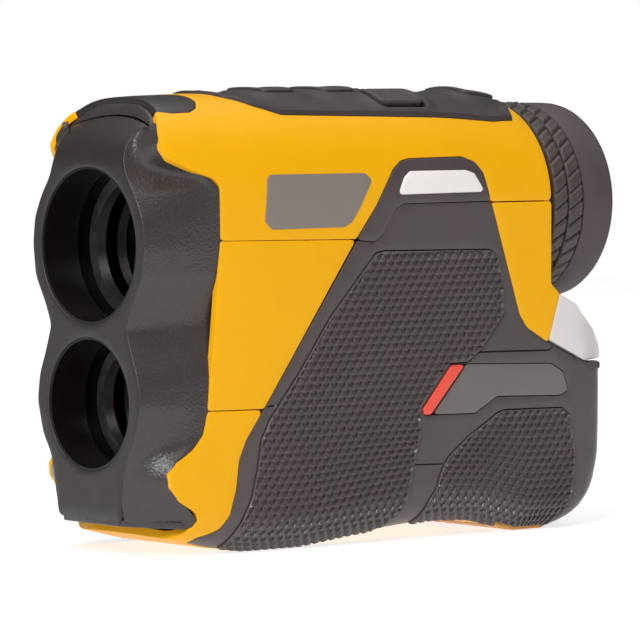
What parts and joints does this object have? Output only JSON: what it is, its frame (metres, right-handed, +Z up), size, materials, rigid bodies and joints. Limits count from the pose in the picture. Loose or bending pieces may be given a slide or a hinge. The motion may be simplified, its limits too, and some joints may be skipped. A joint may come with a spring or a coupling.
{
  "type": "laser rangefinder",
  "caption": "Compact handheld laser rangefinder: stacked sight and receiver objectives, eyepiece with ribbed rings, rubber grips, top keypad and a silver rear battery cap.",
  "frame": {"origin": "bottom centre of the overall box, on the surface the instrument stands on, on its mirror plane", "axes": "+Z up; the two objectives look along -Y; the eyepiece looks out along +Y; +X is the left hand side of the user"},
  "size_m": [0.0398, 0.1144, 0.0852],
  "materials": {
    "yellow_shell": "satin moulded yellow",
    "black_bezel": "fine leather-grain moulding",
    "black_shell": "matte moulded black",
    "black_rubber": "fine speckled overmould",
    "pad_rubber": "moulded pyramid texture",
    "key_rubber": "satin rubber",
    "ring_rubber": "diagonally ribbed rubber",
    "eyecup_rubber": "soft matte rubber",
    "grey_plate": "satin grey plate",
    "red_accent": "glossy red insert",
    "orange_strip": "satin orange",
    "silver_plastic": "fine silver paint",
    "black_metal": "black anodised",
    "ring_metal": "dark anodised, slotted",
    "bare_aluminium": "machined",
    "coated_glass": "multi-coated",
    "amber_glass": "amber-coated",
    "filter_glass": "deep red interference filter",
    "clear_glass": "polished",
    "circuit_board": "solder mask over laminate",
    "flex_film": "polyimide film",
    "dome_steel": "spring steel",
    "battery_wrap": "shrink wrap",
    "brass_fittings": "turned",
    "screw_steel": "zinc plated"
  },
  "bodies": {
    "housing": {"front_bezel": "black_bezel", "upper_housing": "yellow_shell", "middle_housing": "yellow_shell", "lower_housing": "yellow_shell", "battery_housing": "black_shell", "foot_strip": "orange_strip", "keypad_mat": "black_rubber", "eyepiece_tube": "black_metal", "objective_barrel": "black_metal", "objective_lens": "coated_glass", "objective_retaining_ring": "ring_metal", "receiver_barrel": "black_metal", "receiver_lens": "amber_glass", "receiver_retaining_ring": "ring_metal", "optical_chassis": "bare_aluminium", "prism_holder": "black_metal", "roof_prism": "clear_glass", "half_prism": "clear_glass", "display_panel": "clear_glass", "bandpass_filter": "filter_glass", "detector_board": "circuit_board", "laser_module": "brass_fittings", "main_board": "circuit_board", "compass_module": "circuit_board", "flex_cable": "flex_film", "keypad_board": "circuit_board", "key_domes": "dome_steel", "battery_tube": "black_shell", "battery_cell": "battery_wrap", "battery_spring": "dome_steel", "tripod_socket": "brass_fittings", "case_screws": "screw_steel", "left_grip_frame": "black_rubber", "left_grip_pad": "pad_rubber", "left_rear_pad": "pad_rubber", "left_name_plate": "grey_plate", "left_side_label": "grey_plate", "left_accent_bar": "red_accent", "left_badge": "silver_plastic", "right_grip_frame": "black_rubber", "right_grip_pad": "pad_rubber", "right_rear_pad": "pad_rubber", "right_name_plate": "grey_plate", "right_side_label": "grey_plate", "right_accent_bar": "red_accent", "right_badge": "silver_plastic"},
    "front_key": {"front_key": "key_rubber"},
    "centre_key": {"centre_key": "key_rubber"},
    "left_key": {"left_key": "key_rubber"},
    "right_key": {"right_key": "key_rubber"},
    "fire_key": {"fire_key": "key_rubber"},
    "diopter_ring": {"diopter_ring": "ring_rubber"},
    "lens_cell": {"lens_cell": "black_metal", "eye_lens": "coated_glass", "field_lens": "clear_glass"},
    "eyecup_sleeve": {"eyecup_sleeve": "ring_rubber"},
    "eyecup": {"eyecup": "eyecup_rubber"},
    "battery_cap": {"battery_cap": "silver_plastic"}
  },
  "joints": [
    {"name": "front_key_press", "type": "slide", "parent": "housing", "child": "front_key", "axis": [0, 0, -1], "range_m": [0, 0.0006], "stiffness_N_per_m": 1500, "springref_m": -0.0004},
    {"name": "centre_key_press", "type": "slide", "parent": "housing", "child": "centre_key", "axis": [0, 0, -1], "range_m": [0, 0.0006], "stiffness_N_per_m": 1500, "springref_m": -0.0004},
    {"name": "left_key_press", "type": "slide", "parent": "housing", "child": "left_key", "axis": [0, 0, -1], "range_m": [0, 0.0006], "stiffness_N_per_m": 1500, "springref_m": -0.0004},
    {"name": "right_key_press", "type": "slide", "parent": "housing", "child": "right_key", "axis": [0, 0, -1], "range_m": [0, 0.0006], "stiffness_N_per_m": 1500, "springref_m": -0.0004},
    {"name": "fire_key_press", "type": "slide", "parent": "housing", "child": "fire_key", "axis": [0, 0, -1], "range_m": [0, 0.0006], "stiffness_N_per_m": 1500, "springref_m": -0.0004},
    {"name": "diopter_turn", "type": "hinge", "parent": "housing", "child": "diopter_ring", "pos_m": [0, 0.0428, 0.063], "axis": [0, 1, 0], "range_deg": [-60, 60]},
    {"name": "lens_cell_slide", "type": "slide", "parent": "housing", "child": "lens_cell", "axis": [0, 1, 0], "range_m": [-0.001, 0.001]},
    {"name": "eyecup_turn", "type": "hinge", "parent": "housing", "child": "eyecup_sleeve", "pos_m": [0, 0.0466, 0.063], "axis": [0, 1, 0], "range_deg": [0, 90]},
    {"name": "eyecup_slide", "type": "slide", "parent": "housing", "child": "eyecup", "axis": [0, 1, 0], "range_m": [0, 0.0045]},
    {"name": "battery_cap_slide", "type": "slide", "parent": "housing", "child": "battery_cap", "axis": [0, 1, 0], "range_m": [0, 0.014]}
  ],
  "couplings": [
    {"joint": "diopter_turn", "follows": "lens_cell_slide", "rad_per_m": 1047.2},
    {"joint": "eyecup_turn", "follows": "eyecup_slide", "rad_per_m": 349.06}
  ]
}
